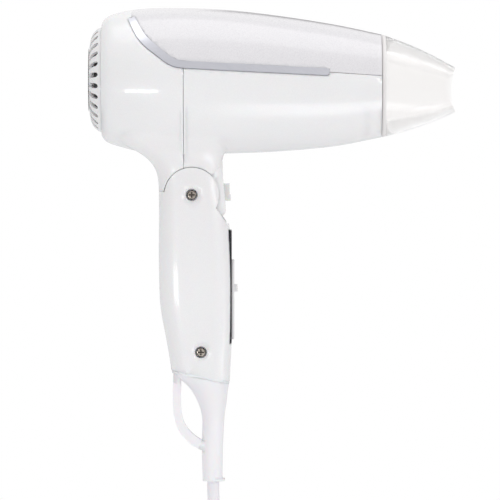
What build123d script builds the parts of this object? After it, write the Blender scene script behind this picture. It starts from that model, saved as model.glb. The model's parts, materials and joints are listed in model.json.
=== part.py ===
"""Folding travel hair dryer with a clear concentrator nozzle, in millimetres.

The origin is the middle of the hand grip. +X follows the air towards the nozzle, +Z is up and +Y
runs along the fold axis. Heights written from the fold axis are turned into the frame by up().
"""

from build123d import *
import math
import os

# Frame
PIVOT_UP = 58.0  # fold axis above the middle of the grip

# Walls, seams and running gaps
WALL = 2.0  # barrel shells
HANDLE_WALL = 2.2
SEAM = 0.3  # gap at a seam between pieces that move past each other
LINE = 0.25  # fine line between mouldings that are screwed together
RUN = 0.05  # radial running clearance of a shaft
SIDE_GAP = 0.35  # sideways clearance of the tongue between the cheeks

# Barrel, from the rear lip to the outlet: x, top, bottom, half width of the crown flat, crown rise.
# Heights are from the fold axis.
BARREL = (
    (-49.5, 93.6, 32.0, 10.0, 0.9),
    (-47.6, 96.2, 29.6, 12.0, 1.3),
    (-44.0, 98.4, 27.6, 14.0, 1.8),
    (-37.0, 100.4, 25.2, 16.5, 2.4),
    (-25.0, 101.9, 22.9, 19.0, 3.0),
    (-5.0, 102.2, 22.3, 20.0, 3.2),
    (20.0, 101.1, 22.3, 20.0, 3.8),
    (50.0, 97.6, 23.6, 19.5, 4.4),
    (80.0, 92.8, 26.5, 18.5, 5.0),
    (104.0, 87.7, 31.2, 17.5, 5.4),
)
BARREL_STATIONS = 20
OUTLET_X = BARREL[-1][0]
LIP_X = BARREL[0][0]
SEAM_X = -4.4  # upright seam between the rear and front housings
AIR_UP = 62.0  # fan and heater axis above the fold axis

# Inlet grille
GRILLE_R = 29.0
GRILLE_REACH = 7.4  # how far the dome stands behind the lip
GRILLE_WALL = 1.8
GRILLE_FIT = 0.3
RIM_SLOTS = 28
RIM_SLOT_WIDE = 2.7
RIM_SLOT_IN = 18.0
RIM_SLOT_OUT = 28.2
HUB_SLOTS = 15
HUB_SLOT_WIDE = 2.4
HUB_SLOT_IN = 7.0
HUB_SLOT_OUT = 15.0

# Trim strip: one edge runs from the crown down an arc and forward along the side
TRIM_LOW = ((-34.9, 96.3), (-28.6, 85.0), (-18.2, 75.9), (-4.1, 69.7))
TRIM_LOW_TIP = (73.5, 65.7)
TRIM_HIGH = ((-31.2, 97.6), (-25.9, 88.6), (-15.8, 79.4), (-2.6, 73.4))
TRIM_HIGH_TIP = (73.5, 69.4)
TRIM_PROUD = 0.35
TRIM_DEEP = 1.1
TRIM_SHADOW = 0.45  # open line under the strip's lower edge
COVER_FRONT_UP = 65.4  # where the cover's lower seam meets the outlet

# Nozzle
MOUTH_X = 144.2
MOUTH_UP = 57.4
MOUTH_HALF_HIGH = 12.4
MOUTH_HALF_WIDE = 27.0
MOUTH_POWER = 4.5  # squareness of the mouth
NOZZLE_WALL = 1.8
NOZZLE_BULGE = 1.2  # how far top and bottom bow out between barrel and mouth
LIP_SCOOP = 2.6  # how far the side lips are cut back
SPIGOT_R = 24.6
SPIGOT_LONG = 9.0
SPIGOT_FIT = 0.15
COLLAR_LONG = 8.0
OUTLET_UP = 59.4

# Neck and handle outline: height from the fold axis, rear x, front x, half width, corner radius
COLUMN = (
    (-112.0, -11.0, 20.6, 14.6, 9.5),
    (-98.0, -11.2, 21.0, 15.2, 10.0),
    (-80.0, -14.0, 21.9, 16.4, 10.5),
    (-62.0, -17.2, 22.0, 17.4, 11.0),
    (-40.0, -18.1, 21.6, 18.0, 11.0),
    (-18.0, -18.1, 20.6, 18.0, 11.0),
    (-2.0, -18.1, 18.5, 18.0, 11.0),
    (8.0, -18.5, 16.9, 18.0, 11.0),
    (13.5, -20.0, 16.3, 18.2, 11.0),
    (18.5, -23.4, 16.8, 18.9, 11.5),
    (24.0, -31.0, 18.6, 20.9, 13.0),
    (28.0, -37.6, 21.2, 23.5, 14.5),
    (32.0, -42.5, 24.8, 26.8, 16.0),
    (37.0, -41.0, 29.5, 29.6, 18.0),
)
COLUMN_STATIONS = 24

# Fold joint
CHEEK_R = 15.0
CHEEK_IN = 12.6  # inner face of each cheek from the middle plane
STEP_UP = 1.6  # top of the handle's rear wall
NECK_FACE_DEG = 45.0  # slope of the neck's front face over the opening
CHIN = ((13.2, -7.1), (19.6, -16.4))  # sloping front edge of each cheek
HUB_R = 14.4
SWEEP_R = 22.4  # space the tongue needs inside the handle
PIN_R = 3.6
SCREW_WELL_R = 3.3
SCREW_WELL_DEEP = 2.6
SCREW_HEAD_R = 2.5
SCREW_HEAD_HIGH = 1.8
SCREW_R = 1.6
LOW_SCREW = (5.0, -86.4)
PIVOT_SEAT_Y = -18.0 + SCREW_WELL_DEEP  # floors of the two screw wells
LOW_SEAT_Y = -15.9 + SCREW_WELL_DEEP
LOW_SCREW_TIP_Y = 8.0

# Handle front: bezel, panel and switch
BEZEL_TOP = -19.5
BEZEL_END = -82.0
BEZEL_HALF = 10.5
BEZEL_BACK = 20.0
BEZEL_FACE = 21.9
PANEL_TOP = -36.0
PANEL_END = -79.6
PANEL_HALF = 8.2
PANEL_FACE = 23.3
SLOT_TOP = -46.0
SLOT_END = -65.5
SLOT_HALF = 2.6
NUB_UP = -51.6
NUB_LONG = 4.0
NUB_FACE = 25.2
SLIDE_PLAY = 0.3

# Cold-air button in the tongue
BUTTON_TOP = 5.8
BUTTON_STEP = -0.4
BUTTON_END = -3.6
BUTTON_HALF = 4.5
BUTTON_FACE = 20.7
BUTTON_LOW_FACE = 21.3
BUTTON_BACK = 13.0
BUTTON_TRAVEL = 2.0
BUTTON_PLAY = 0.2
WELL_BACK = PIN_R + 1.0  # inner end of the button's pocket

# Strain relief with the hanging loop
SEAL_REAR = (-12.0, -96.4)
SEAL_FRONT = (23.0, -103.0)
SEAL_THICK = 1.4
RELIEF_X = 11.6
RELIEF_END = -158.0
# Oval sections: height from the fold axis, centre x, half length, half width
RELIEF = (
    (RELIEF_END, 11.4, 5.5, 6.0),
    (-146.0, 11.2, 5.7, 6.0),
    (-133.0, 11.4, 5.9, 6.1),
    (-122.5, 11.7, 6.2, 7.2),
    (-114.5, 11.1, 7.9, 9.4),
    (-107.0, 9.4, 10.5, 12.2),
    (-102.6, 7.4, 13.3, 14.0),
    (-97.0, 5.6, 15.3, 14.8),
)
RELIEF_STATIONS = 14
RELIEF_FOOT = (12.2, 5.9)  # centre x and radius of the rim at the relief's lower end
LOOP_THICK = 8.6

# Cord and plug
CORD_R = 3.3
CLAMP = (-96.0, -91.0)  # lower and upper face of the clamp inside the handle
ROUTE = (
    (11.6, 0.0, -94.0),
    (11.6, 0.6, -111.0),
    (13.4, 0.2, -129.5),
    (24.5, 0.0, -146.0),
    (42.6, -1.2, -154.7),
    (62.0, 0.0, -154.7),
)
FLOOR = -158.0  # what the coil lies on
COIL_AT = (66.0, 46.0)
COIL_IN = 29.5
COIL_OUT = 49.3
COIL_HIGH = 13.2
TAIL = (
    (66.0, 0.2, -148.1),
    (80.5, -1.0, -149.2),
    (97.5, 4.0, -152.4),
    (111.0, 17.0, -154.7),
    (118.8, 34.0, -154.7),
    (120.0, 52.4, -154.7),
    (118.0, 70.4, -153.6),
)
PLUG_LONG = 36.0
PLUG = ((0.0, 4.4, 4.4), (9.0, 6.5, 5.6), (19.0, 14.0, 8.0), (28.0, 17.5, 8.6), (PLUG_LONG, 17.8, 8.6))
PIN_SPACING = 19.0
PIN_RADIUS = 2.4
PIN_LONG = 19.0

# Fan, motor and heater
DUCT_R = 29.6
DUCT_WALL = 1.4
DUCT_X = (-40.0, 12.0)
FAN_R = 27.4
FAN_X = (-38.0, -25.0)
FAN_HUB_R = 8.5
BLADES = 7
MOTOR_R = 12.0
MOTOR_X = (-20.0, 10.0)
SHAFT_R = 1.0
VANES = 6
SLEEVE_R = 25.4
SLEEVE_WALL = 0.6
SLEEVE_X = (12.6, 86.0)
FORMER_THICK = 0.8
COIL_RINGS = 8
COIL_RING_R = 18.0
COIL_WIRE_R = 1.3


def up(height):
    """A height from the fold axis as a height in the frame."""
    return height + PIVOT_UP


def side_slab(points, low_y, high_y):
    """A straight-sided outline in XZ pulled from low_y to high_y."""
    face = make_face(Polyline(*[(x, 0, up(z)) for x, z in points], close=True))
    return slab(face, low_y, high_y)


def slab(face, low_y, high_y):
    """A face in XZ pulled from low_y to high_y."""
    solid = extrude(face, amount=high_y - low_y, dir=(0, 1, 0))
    return Pos(0, low_y, 0) * solid


def block(low, high):
    """A box between two corners in the frame."""
    size = [b - a for a, b in zip(low, high)]
    centre = [(a + b) / 2 for a, b in zip(low, high)]
    return Pos(*centre) * Box(*size)


def rod_x(radius, low_x, high_x, height, y=0.0):
    """A cylinder along X at a height from the fold axis."""
    rod = Cylinder(radius, high_x - low_x)
    return Pos((low_x + high_x) / 2, y, up(height)) * Rot(0, 90, 0) * rod


def rod_y(radius, low_y, high_y, x=0.0, height=0.0):
    """A cylinder along Y at a place in the XZ plane."""
    rod = Cylinder(radius, high_y - low_y)
    return Pos(x, (low_y + high_y) / 2, up(height)) * Rot(90, 0, 0) * rod


def barrel_section(x, top, bottom, crease, rise, inset):
    """A round section whose crown is a flatter arc between two creases, set in by a wall."""
    height = top - rise - bottom
    radius = (height**2 + crease**2) / (2 * height)
    inner = radius - inset
    half = crease * inner / radius
    shoulder = math.sqrt(inner**2 - half**2)
    crown = top - inset - bottom - radius
    plane = Plane(origin=(x, 0, up(bottom + radius)), x_dir=(0, 1, 0), z_dir=(1, 0, 0))
    side = ThreePointArc((half, shoulder), (0, -inner), (-half, shoulder))
    lid = ThreePointArc((-half, shoulder), (0, crown), (half, shoulder))
    return plane * make_face([side, lid])


def smooth_row(table, x):
    """A row of values at x on the smooth curves through a table whose first column is x."""
    last = len(table) - 1
    i = max(k for k in range(last) if table[k][0] <= x or k == 0)
    step = table[i + 1][0] - table[i][0]
    t = (x - table[i][0]) / step
    row = []
    for column in range(1, len(table[0])):
        slopes = []
        for k in (i, i + 1):
            before, after = table[max(k - 1, 0)], table[min(k + 1, last)]
            slopes.append(step * (after[column] - before[column]) / (after[0] - before[0]))
        low, high = table[i][column], table[i + 1][column]
        bend = (2 * t**3 - 3 * t**2 + 1) * low + (3 * t**2 - 2 * t**3) * high
        row.append(bend + (t**3 - 2 * t**2 + t) * slopes[0] + (t**3 - t**2) * slopes[1])
    return row


def even_stations(table, count):
    """Evenly spaced stations along a table, so that the loft through them is smooth."""
    low, high = table[0][0], table[-1][0]
    places = [low + (high - low) * i / (count - 1) for i in range(count)]
    return [(x, *smooth_row(table, x)) for x in places]


def barrel_solid(inset):
    """The barrel's full body, set in by a wall or grown by a negative one."""
    stations = even_stations(BARREL, BARREL_STATIONS)
    return loft([barrel_section(*station, inset) for station in stations])


def column_section(height, rear, front, half, corner, inset):
    """A rounded rectangle of the handle or the neck."""
    plane = Plane(origin=((rear + front) / 2, 0, up(height)))
    return plane * RectangleRounded(front - rear - 2 * inset, 2 * (half - inset), corner - inset)


def column_solid(inset):
    """Handle and neck as one outer body, so that both sides of the fold joint are flush."""
    stations = even_stations(COLUMN, COLUMN_STATIONS)
    return loft([column_section(*station, inset) for station in stations])


def both_sides(solid):
    """A solid and its mirror image across the middle plane."""
    return solid + mirror(solid, about=Plane.XZ)


def trim_outline(edge, tip):
    """One edge of the trim strip, from the crown to its front tip."""
    points = [(x, 0, up(z)) for x, z in edge]
    ahead = Vector(tip[0] - edge[-1][0], 0, tip[1] - edge[-1][1])
    fall = Vector(edge[1][0] - edge[0][0], 0, edge[1][1] - edge[0][1])
    return Spline(*points, tangents=[fall.normalized(), ahead.normalized()]), Line(
        points[-1], (tip[0], 0, up(tip[1]))
    )


def trim_face():
    """The strip's outline seen from the side, with its round front tip."""
    low_curve, low_line = trim_outline(TRIM_LOW, TRIM_LOW_TIP)
    high_curve, high_line = trim_outline(TRIM_HIGH, TRIM_HIGH_TIP)
    half = (TRIM_HIGH_TIP[1] - TRIM_LOW_TIP[1]) / 2
    nose = (TRIM_LOW_TIP[0] + half, 0, up(TRIM_LOW_TIP[1] + half))
    tip = ThreePointArc(low_line @ 1, nose, high_line @ 1)
    crown = Line(high_curve @ 0, low_curve @ 0)
    return make_face([low_curve, low_line, tip, high_line, high_curve, crown])


def cover_face():
    """The top cover's outline seen from the side: its lower edge runs under the trim strip."""
    middle = [((a[0] + b[0]) / 2, 0, up((a[1] + b[1]) / 2)) for a, b in zip(TRIM_LOW, TRIM_HIGH)]
    tip = ((TRIM_LOW_TIP[0] + TRIM_HIGH_TIP[0]) / 2, 0, up((TRIM_LOW_TIP[1] + TRIM_HIGH_TIP[1]) / 2))
    curve = Spline(*middle)
    front = (OUTLET_X + 1, 0, up(COVER_FRONT_UP))
    lid = up(BARREL[5][1] + 10)
    rest = Polyline(middle[-1], tip, front, (OUTLET_X + 1, 0, lid), (middle[0][0], 0, lid), middle[0])
    return make_face([curve, *rest.edges()])


def collar_ring():
    """The thick round collar inside the outlet that the nozzle's spigot plugs into."""
    low = OUTLET_X - COLLAR_LONG
    rim = barrel_solid(WALL) & block((low, -60, up(0)), (OUTLET_X, 60, up(120)))
    return rim - rod_x(SPIGOT_R + SPIGOT_FIT, low - 1, OUTLET_X + 1, OUTLET_UP)


def neck_region():
    """The space that the full-width neck may fill, above the handle's cheeks."""
    reach = 60.0
    slope = math.tan(math.radians(NECK_FACE_DEG))
    corner = CHEEK_R * math.cos(math.radians(NECK_FACE_DEG))
    outline = (
        (-reach, STEP_UP + SEAM),
        (0, STEP_UP + SEAM),
        (0, 0),
        (corner, corner * slope),
        (reach, reach * slope),
        (reach, reach + 20),
        (-reach, reach + 20),
    )
    region = side_slab(outline, -reach, reach)
    gap = CHEEK_IN - SIDE_GAP
    disc = rod_y(CHEEK_R + SEAM, gap, reach)
    return region - both_sides(disc)


def tongue():
    """The narrow hub and front skirt that swing between the handle's cheeks."""
    half = CHEEK_IN - SIDE_GAP
    outline = (
        (-6.0, 12.0),
        (-6.0, 22.0),
        (16.6, 22.0),
        (17.0, 9.0),
        (18.3, -3.0),
        (18.7, -9.6),
        (15.4, -13.8),
        (8.0, -11.9),
        (0.0, 0.0),
    )
    skirt = side_slab(outline, -half, half)
    edges = skirt.edges().filter_by(Axis.Y).sort_by(Axis.X)[-4:]
    skirt = fillet(edges, 1.4)
    hub = rod_y(HUB_R, -half, half)
    inner = side_slab(((-5.0, 16.0), (-5.0, 24.0), (13.0, 24.0), (13.0, 16.0)), -half + 2, half - 2)
    return skirt + hub - inner


def button_well():
    """The pocket in the tongue that holds the cold-air button and the snap switch behind it."""
    return block(
        (WELL_BACK, -BUTTON_HALF - BUTTON_PLAY, up(BUTTON_END - BUTTON_PLAY)),
        (BUTTON_LOW_FACE + 4, BUTTON_HALF + BUTTON_PLAY, up(BUTTON_TOP + BUTTON_PLAY)),
    )


def barrel_and_neck():
    """The whole barrel shell with its neck and tongue, before it is split into mouldings."""
    neck = column_solid(0) & neck_region()
    neck -= block((-13, -13, up(17)), (12.5, 13, up(40)))
    body = barrel_solid(0) + neck + tongue()
    body -= barrel_solid(WALL)
    body -= rod_y(PIN_R + RUN, -30, 30)
    return body - button_well()


def grille_up():
    """Height of the grille's centre: the middle of the rear lip."""
    return (BARREL[0][1] + BARREL[0][2]) / 2


def housings():
    """Rear and front housings, the top cover and the two trim strips."""
    whole = barrel_and_neck()
    zone = slab(trim_face(), -60, 60)
    layer = barrel_solid(-TRIM_PROUD) - barrel_solid(TRIM_DEEP)
    strip = layer & zone
    trench = layer & (zone + Pos(0, 0, -TRIM_SHADOW) * zone)
    cover_zone = slab(cover_face(), -60, 60)
    cover = (whole & cover_zone) - trench
    lower = whole - (Pos(0, 0, -LINE) * cover_zone) - cover_zone - trench
    rear = lower & block((-80, -60, up(-30)), (SEAM_X - LINE / 2, 60, up(120)))
    front = lower & block((SEAM_X + LINE / 2, -60, up(-30)), (OUTLET_X + 1, 60, up(120)))
    front += collar_ring()
    left = strip & block((-80, -60, up(0)), (120, 0, up(120)))
    right = strip & block((-80, 0, up(0)), (120, 60, up(120)))
    return rear, front, cover, left, right


def dome_profile(radius, reach):
    """Half outline of the grille's dome about the air axis."""
    return [
        (LIP_X + 2.4, radius),
        (LIP_X, radius),
        (LIP_X - reach * 0.34, radius * 0.96),
        (LIP_X - reach * 0.70, radius * 0.85),
        (LIP_X - reach * 0.93, radius * 0.56),
        (LIP_X - reach, 0),
    ]


def dome_solid(radius, reach):
    """A solid dome that bulges back from the lip."""
    points = [(x, 0, up(grille_up()) + r) for x, r in dome_profile(radius, reach)]
    skirt = Line(points[0], points[1])
    curve = Spline(*points[1:], tangents=[(-1, 0, 0), (0, 0, -1)])
    base = Line(points[-1], (points[0][0], 0, up(grille_up())))
    back = Line((points[0][0], 0, up(grille_up())), points[0])
    axis = Axis((0, 0, up(grille_up())), (1, 0, 0))
    return revolve(make_face([skirt, curve, base, back]), axis)


def radial_slots(count, wide, inner, outer, phase):
    """Rounded slots set radially about the grille's centre, as cutting bars along X."""
    middle = (inner + outer) / 2
    bar = Pos(middle, 0, 0) * SlotOverall(outer - inner, wide)
    face = Sketch() + [Rot(0, 0, phase + i * 360 / count) * bar for i in range(count)]
    plane = Plane(origin=(LIP_X - 12, 0, up(grille_up())), x_dir=(0, 1, 0), z_dir=(1, 0, 0))
    return extrude(plane * face, amount=16)


def inlet_grille():
    """Domed grille with two rings of radial slots and a plain middle."""
    outer = GRILLE_R - GRILLE_FIT
    shell = dome_solid(outer, GRILLE_REACH)
    shell -= dome_solid(outer - GRILLE_WALL, GRILLE_REACH - GRILLE_WALL)
    shell -= radial_slots(RIM_SLOTS, RIM_SLOT_WIDE, RIM_SLOT_IN, RIM_SLOT_OUT, 180 / RIM_SLOTS)
    return shell - radial_slots(HUB_SLOTS, HUB_SLOT_WIDE, HUB_SLOT_IN, HUB_SLOT_OUT, 6)


def nozzle_section(x, height, half_wide, half_high, power, inset):
    """A superellipse section, round at the barrel and squarer at the mouth."""
    count = 24
    plane = Plane(origin=(x, 0, up(height)), x_dir=(0, 1, 0), z_dir=(1, 0, 0))
    points = []
    for i in range(count):
        angle = math.tau * (i + 0.5) / count
        across = math.copysign(abs(math.cos(angle)) ** (2 / power), math.cos(angle))
        rise = math.copysign(abs(math.sin(angle)) ** (2 / power), math.sin(angle))
        points.append(((half_wide - inset) * across, (half_high - inset) * rise))
    return plane * make_face(Spline(*points, periodic=True))


def nozzle_solid(inset):
    """The nozzle's tapering body, set in by its wall."""
    x, top, bottom, crease, rise = BARREL[-1]
    height = top - rise - bottom
    round_half = (height**2 + crease**2) / (2 * height)
    start = x + SEAM
    steps = 4
    sections = []
    for i in range(steps + 1):
        t = i / steps
        bow = NOZZLE_BULGE * math.sin(math.pi * t)
        half_high = (top - bottom) / 2 * (1 - t) + MOUTH_HALF_HIGH * t + bow
        sections.append(
            nozzle_section(
                start + (MOUTH_X - start) * t,
                (top + bottom) / 2 * (1 - t) + MOUTH_UP * t,
                round_half * (1 - t) + MOUTH_HALF_WIDE * t,
                half_high,
                2 + (MOUTH_POWER - 2) * t**1.6,
                inset,
            )
        )
    return loft(sections)


def concentrator_nozzle():
    """Clear nozzle with a scooped mouth and a round spigot that plugs into the outlet."""
    shell = nozzle_solid(0) - nozzle_solid(NOZZLE_WALL)
    start = OUTLET_X + SEAM
    spigot = rod_x(SPIGOT_R, OUTLET_X - SPIGOT_LONG, start + 2, OUTLET_UP)
    spigot -= rod_x(SPIGOT_R - NOZZLE_WALL, OUTLET_X - SPIGOT_LONG - 1, start + 3, OUTLET_UP)
    web = nozzle_solid(0) & block((start, -60, up(0)), (start + 2, 60, up(120)))
    web -= rod_x(SPIGOT_R - NOZZLE_WALL, start - 1, start + 3, OUTLET_UP)
    scoop_r = (MOUTH_HALF_HIGH**2 + LIP_SCOOP**2) / (2 * LIP_SCOOP)
    scoop = rod_y(scoop_r, -60, 60, MOUTH_X - LIP_SCOOP + scoop_r, MOUTH_UP)
    return shell + spigot + web - scoop


def outlet_grille():
    """Rings and spokes across the outlet, behind the nozzle's spigot."""
    low = OUTLET_X - SPIGOT_LONG - 3.4
    high = OUTLET_X - SPIGOT_LONG - 1.0
    outer = SPIGOT_R - 0.6
    grid = rod_x(outer, low, high, OUTLET_UP) - rod_x(outer - 1.6, low - 1, high + 1, OUTLET_UP)
    for radius in (6.0, 12.0, 18.0):
        ring = rod_x(radius, low, high, OUTLET_UP)
        grid += ring - rod_x(radius - 1.2, low - 1, high + 1, OUTLET_UP)
    spoke = block((low, 0, up(OUTLET_UP) - 0.7), (high, outer - 0.5, up(OUTLET_UP) + 0.7))
    for i in range(6):
        grid += spoke.rotate(Axis((0, 0, up(OUTLET_UP)), (1, 0, 0)), 60 * i + 30)
    return grid


def seal_up(x):
    """Height of the slanted lower end of the handle at x."""
    slope = (SEAL_FRONT[1] - SEAL_REAR[1]) / (SEAL_FRONT[0] - SEAL_REAR[0])
    return SEAL_REAR[1] + slope * (x - SEAL_REAR[0])


def stub_up():
    """Height at which the cord's inner end starts, clear of the relief's slanted top face."""
    return max(seal_up(RELIEF_X - CORD_R), seal_up(RELIEF_X + CORD_R)) + SEAM


def handle_region():
    """The space that the handle may fill: below the rear step, behind the chin and in the discs."""
    reach = 60.0
    outline = (
        (-reach, STEP_UP),
        (0, STEP_UP),
        CHIN[0],
        CHIN[1],
        (reach, CHIN[1][1]),
        (reach, seal_up(reach)),
        (-reach, seal_up(-reach)),
    )
    region = side_slab(outline, -reach, reach)
    return region + both_sides(rod_y(CHEEK_R, CHEEK_IN, 40))


def low_end_slab(top, bottom):
    """A slab that follows the slanted lower end, between two drops below it."""
    reach = 60.0
    outline = (
        (-reach, seal_up(-reach) - top),
        (reach, seal_up(reach) - top),
        (reach, seal_up(reach) - bottom),
        (-reach, seal_up(-reach) - bottom),
    )
    return side_slab(outline, -reach, reach)


def bezel_pocket(grow):
    """The space of the bezel plate on the handle's front."""
    return block(
        (BEZEL_BACK, -BEZEL_HALF - grow, up(BEZEL_END - grow)),
        (BEZEL_FACE + 6, BEZEL_HALF + grow, up(BEZEL_TOP + grow)),
    )


def switch_room():
    """The opening through the handle's front wall for the slide switch's stem."""
    return block(
        (12.0, -SLOT_HALF, up(SLOT_END)),
        (BEZEL_BACK + 1, SLOT_HALF, up(SLOT_TOP)),
    )


def handle_shells():
    """The two halves of the handle, hollow, with cheeks for the fold joint at their top."""
    outer = column_solid(0) & handle_region()
    hollow = column_solid(HANDLE_WALL) & low_end_slab(-(STEP_UP + 120), -1)
    slot = block((-60, -CHEEK_IN, up(-26)), (60, CHEEK_IN, up(30)))
    low = block((-60, -40, up(-120)), (60, 40, up(-26)))
    hollow = hollow & (slot + low)
    sweep = rod_y(SWEEP_R, -CHEEK_IN, CHEEK_IN) & block((-15.9, -20, up(-26)), (40, 20, up(30)))
    chin_room = block((15.0, -CHEEK_IN, up(CHIN[1][1])), (40, CHEEK_IN, up(20)))
    whole = outer - hollow - sweep - chin_room - bezel_pocket(0.1) - switch_room()
    whole -= rod_y(PIN_R, -CHEEK_IN - 2.4, CHEEK_IN + 2.4)
    whole -= rod_y(SCREW_R, -30, CHEEK_IN + 4.0)
    whole -= rod_y(SCREW_WELL_R, -30, PIVOT_SEAT_Y)
    boss = rod_y(3.6, -14, 14, *LOW_SCREW)
    whole += boss
    whole -= rod_y(SCREW_R, -30, LOW_SCREW_TIP_Y, *LOW_SCREW)
    whole -= rod_y(SCREW_WELL_R, -30, LOW_SEAT_Y, *LOW_SCREW)
    whole -= rod_z(CORD_R + SEAM, RELIEF_X, 0, SEAL_REAR[1] - 20, CLAMP[0])
    left = whole & block((-60, -60, up(-130)), (60, -LINE / 2, up(60)))
    right = whole & block((-60, LINE / 2, up(-130)), (60, 60, up(60)))
    return left, right


def cross_screw(seat_y, tip_y, x, height):
    """A pan-head screw along +Y, its head seated at the floor of a well, with a cross recess."""
    head_y = seat_y - SCREW_HEAD_HIGH
    head = rod_y(SCREW_HEAD_R, head_y, seat_y, x, height)
    head = fillet(head.edges().group_by(Axis.Y)[0], 0.7)
    shank = rod_y(SCREW_R, seat_y, tip_y, x, height)
    bar = block((x - 1.6, head_y - 1, up(height) - 0.35), (x + 1.6, head_y + 1.1, up(height) + 0.35))
    cross = bar + bar.rotate(Axis((x, 0, up(height)), (0, 1, 0)), 90)
    return head + shank - cross


def pivot_pin():
    """Steel sleeve that spans the cheeks and carries the tongue."""
    reach = CHEEK_IN + 2.4
    return rod_y(PIN_R, -reach, reach) - rod_y(SCREW_R, -30, 30)


def hinge_washers():
    """Thin washers beside the tongue, one in each cheek's gap."""
    gap = CHEEK_IN - SIDE_GAP
    ring = rod_y(8.0, gap + 0.08, CHEEK_IN) - rod_y(PIN_R, 0, 30)
    return both_sides(ring)


def switch_bezel():
    """Bright rim plate that frames the switch panel on the handle's front."""
    plate = block(
        (BEZEL_BACK, -BEZEL_HALF, up(BEZEL_END)), (BEZEL_FACE, BEZEL_HALF, up(BEZEL_TOP))
    )
    plate = fillet(plate.edges().filter_by(Axis.X), 4.0)
    window = block(
        (BEZEL_BACK - 1, -PANEL_HALF, up(PANEL_END)), (BEZEL_FACE + 1, PANEL_HALF, up(PANEL_TOP))
    )
    window = fillet(window.edges().filter_by(Axis.X), 2.5)
    plate -= window
    return fillet(plate.faces().sort_by(Axis.X)[-1].outer_wire().edges(), 0.6)


def switch_panel():
    """Raised panel inside the bezel, with the slot that the slider's nub runs in."""
    panel = block(
        (BEZEL_BACK, -PANEL_HALF, up(PANEL_END)), (PANEL_FACE, PANEL_HALF, up(PANEL_TOP))
    )
    panel = fillet(panel.edges().filter_by(Axis.X), 2.5)
    panel = fillet(panel.faces().sort_by(Axis.X)[-1].outer_wire().edges(), 0.7)
    slot = block(
        (BEZEL_BACK - 1, -SLOT_HALF, up(SLOT_END)), (PANEL_FACE + 1, SLOT_HALF, up(SLOT_TOP))
    )
    return panel - slot


def switch_slider():
    """Ribbed nub on a stem that reaches the slide switch."""
    half = SLOT_HALF - SLIDE_PLAY
    nub = block(
        (BEZEL_BACK - 6.5, -half, up(NUB_UP - NUB_LONG / 2)), (NUB_FACE, half, up(NUB_UP + NUB_LONG / 2))
    )
    nub = fillet(nub.faces().sort_by(Axis.X)[-1].edges(), 0.7)
    for i in (-1, 0, 1):
        nub -= rod_y(0.35, -10, 10, NUB_FACE, NUB_UP + i * 1.1)
    return nub


def slide_switch():
    """Three-position slide switch behind the panel, with an open track for the slider's stem."""
    body = block((4.0, -5.5, up(-74.0)), (15.6, 5.5, up(-40.0)))
    track = block((12.6, -SLOT_HALF, up(SLOT_END)), (17.0, SLOT_HALF, up(SLOT_TOP)))
    ears = block((14.0, -8.5, up(-76.0)), (15.6, 8.5, up(-38.0)))
    return body + ears - track


def noise_capacitor():
    """Suppression capacitor across the mains, beside the switch."""
    case = block((-12.0, -5.0, up(-66.0)), (-1.0, 5.0, up(-48.0)))
    case = fillet(case.edges(), 0.8)
    legs = rod_z(0.4, -3.0, -3.0, -72.0, -65.5) + rod_z(0.4, -3.0, 3.0, -72.0, -65.5)
    return case + legs


def rod_z(radius, x, y, low, high):
    """A cylinder along Z between two heights from the fold axis."""
    return Pos(x, y, up((low + high) / 2)) * Cylinder(radius, high - low)


def cord_clamp():
    """Bridge that grips the cord's jacket inside the handle."""
    bridge = block((RELIEF_X - 7.0, -9.0, up(CLAMP[0])), (RELIEF_X + 7.0, 9.0, up(CLAMP[1])))
    hole = rod_z(CORD_R, RELIEF_X, 0, CLAMP[0] - 1, CLAMP[1] + 1)
    return fillet(bridge.edges().filter_by(Axis.Z), 2.0) - hole


LEAD_ROUTE = ((12.5, 0.3, -87.0), (12.5, 1.0, -80.0), (1.4, 1.0, -70.0), (1.4, 1.0, -44.0))


def inner_leads():
    """Insulated leads from the clamp past the switch and through the neck to the heater."""
    leads = None
    for y in (-7.6, 7.6):
        route = [(x, y * across, up(z)) for x, across, z in LEAD_ROUTE]
        path = FilletPolyline(*route, radius=3.0)
        lead = sweep(Plane(path @ 0, z_dir=path % 0) * Circle(0.9), path)
        leads = lead if leads is None else leads + lead
    return leads


def relief_section(height, centre, half_long, half_wide):
    """An oval section of the strain relief."""
    return Plane(origin=(centre, 0, up(height))) * Ellipse(half_long, half_wide)


def loop_path(points):
    """A smooth curve in XZ through points of the loop's outline."""
    return Spline(*[(x, 0, up(z)) for x, z in points])


def hanging_loop():
    """Flat curved bar from the handle's rear corner round to the side of the relief."""
    outer = ((-10.3, -97.0), (-10.3, -119.0), (-7.6, -129.3), (-2.2, -136.2), (8.5, -141.9))
    inner = ((-5.9, -101.0), (-5.9, -118.6), (-3.8, -126.6), (0.9, -132.2), (8.5, -137.0))
    run_out = loop_path(outer)
    run_in = loop_path(inner)
    top = Line(run_out @ 0, run_in @ 0)
    end = Line(run_out @ 1, run_in @ 1)
    bar = slab(make_face([run_out, end, run_in, top]), -LOOP_THICK / 2, LOOP_THICK / 2)
    return bar


def strain_relief(lead):
    """Soft moulding: a cap that closes the handle, the tapered relief and the hanging loop."""
    cap = column_solid(0.3) & low_end_slab(0.0, SEAL_THICK)
    cone = loft([relief_section(*station) for station in even_stations(RELIEF, RELIEF_STATIONS)])
    foot_x, foot_r = RELIEF_FOOT
    foot = rod_z(foot_r, foot_x, 0, RELIEF_END, RELIEF_END + 1.6)
    loop = hanging_loop()
    moulding = cap + cone + foot + loop
    moulding &= low_end_slab(0.0, 80.0)
    return moulding - lead


def leg_lengths(points):
    """Lengths of a route's straight runs."""
    return [(Vector(*b) - Vector(*a)).length for a, b in zip(points, points[1:])]


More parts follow.
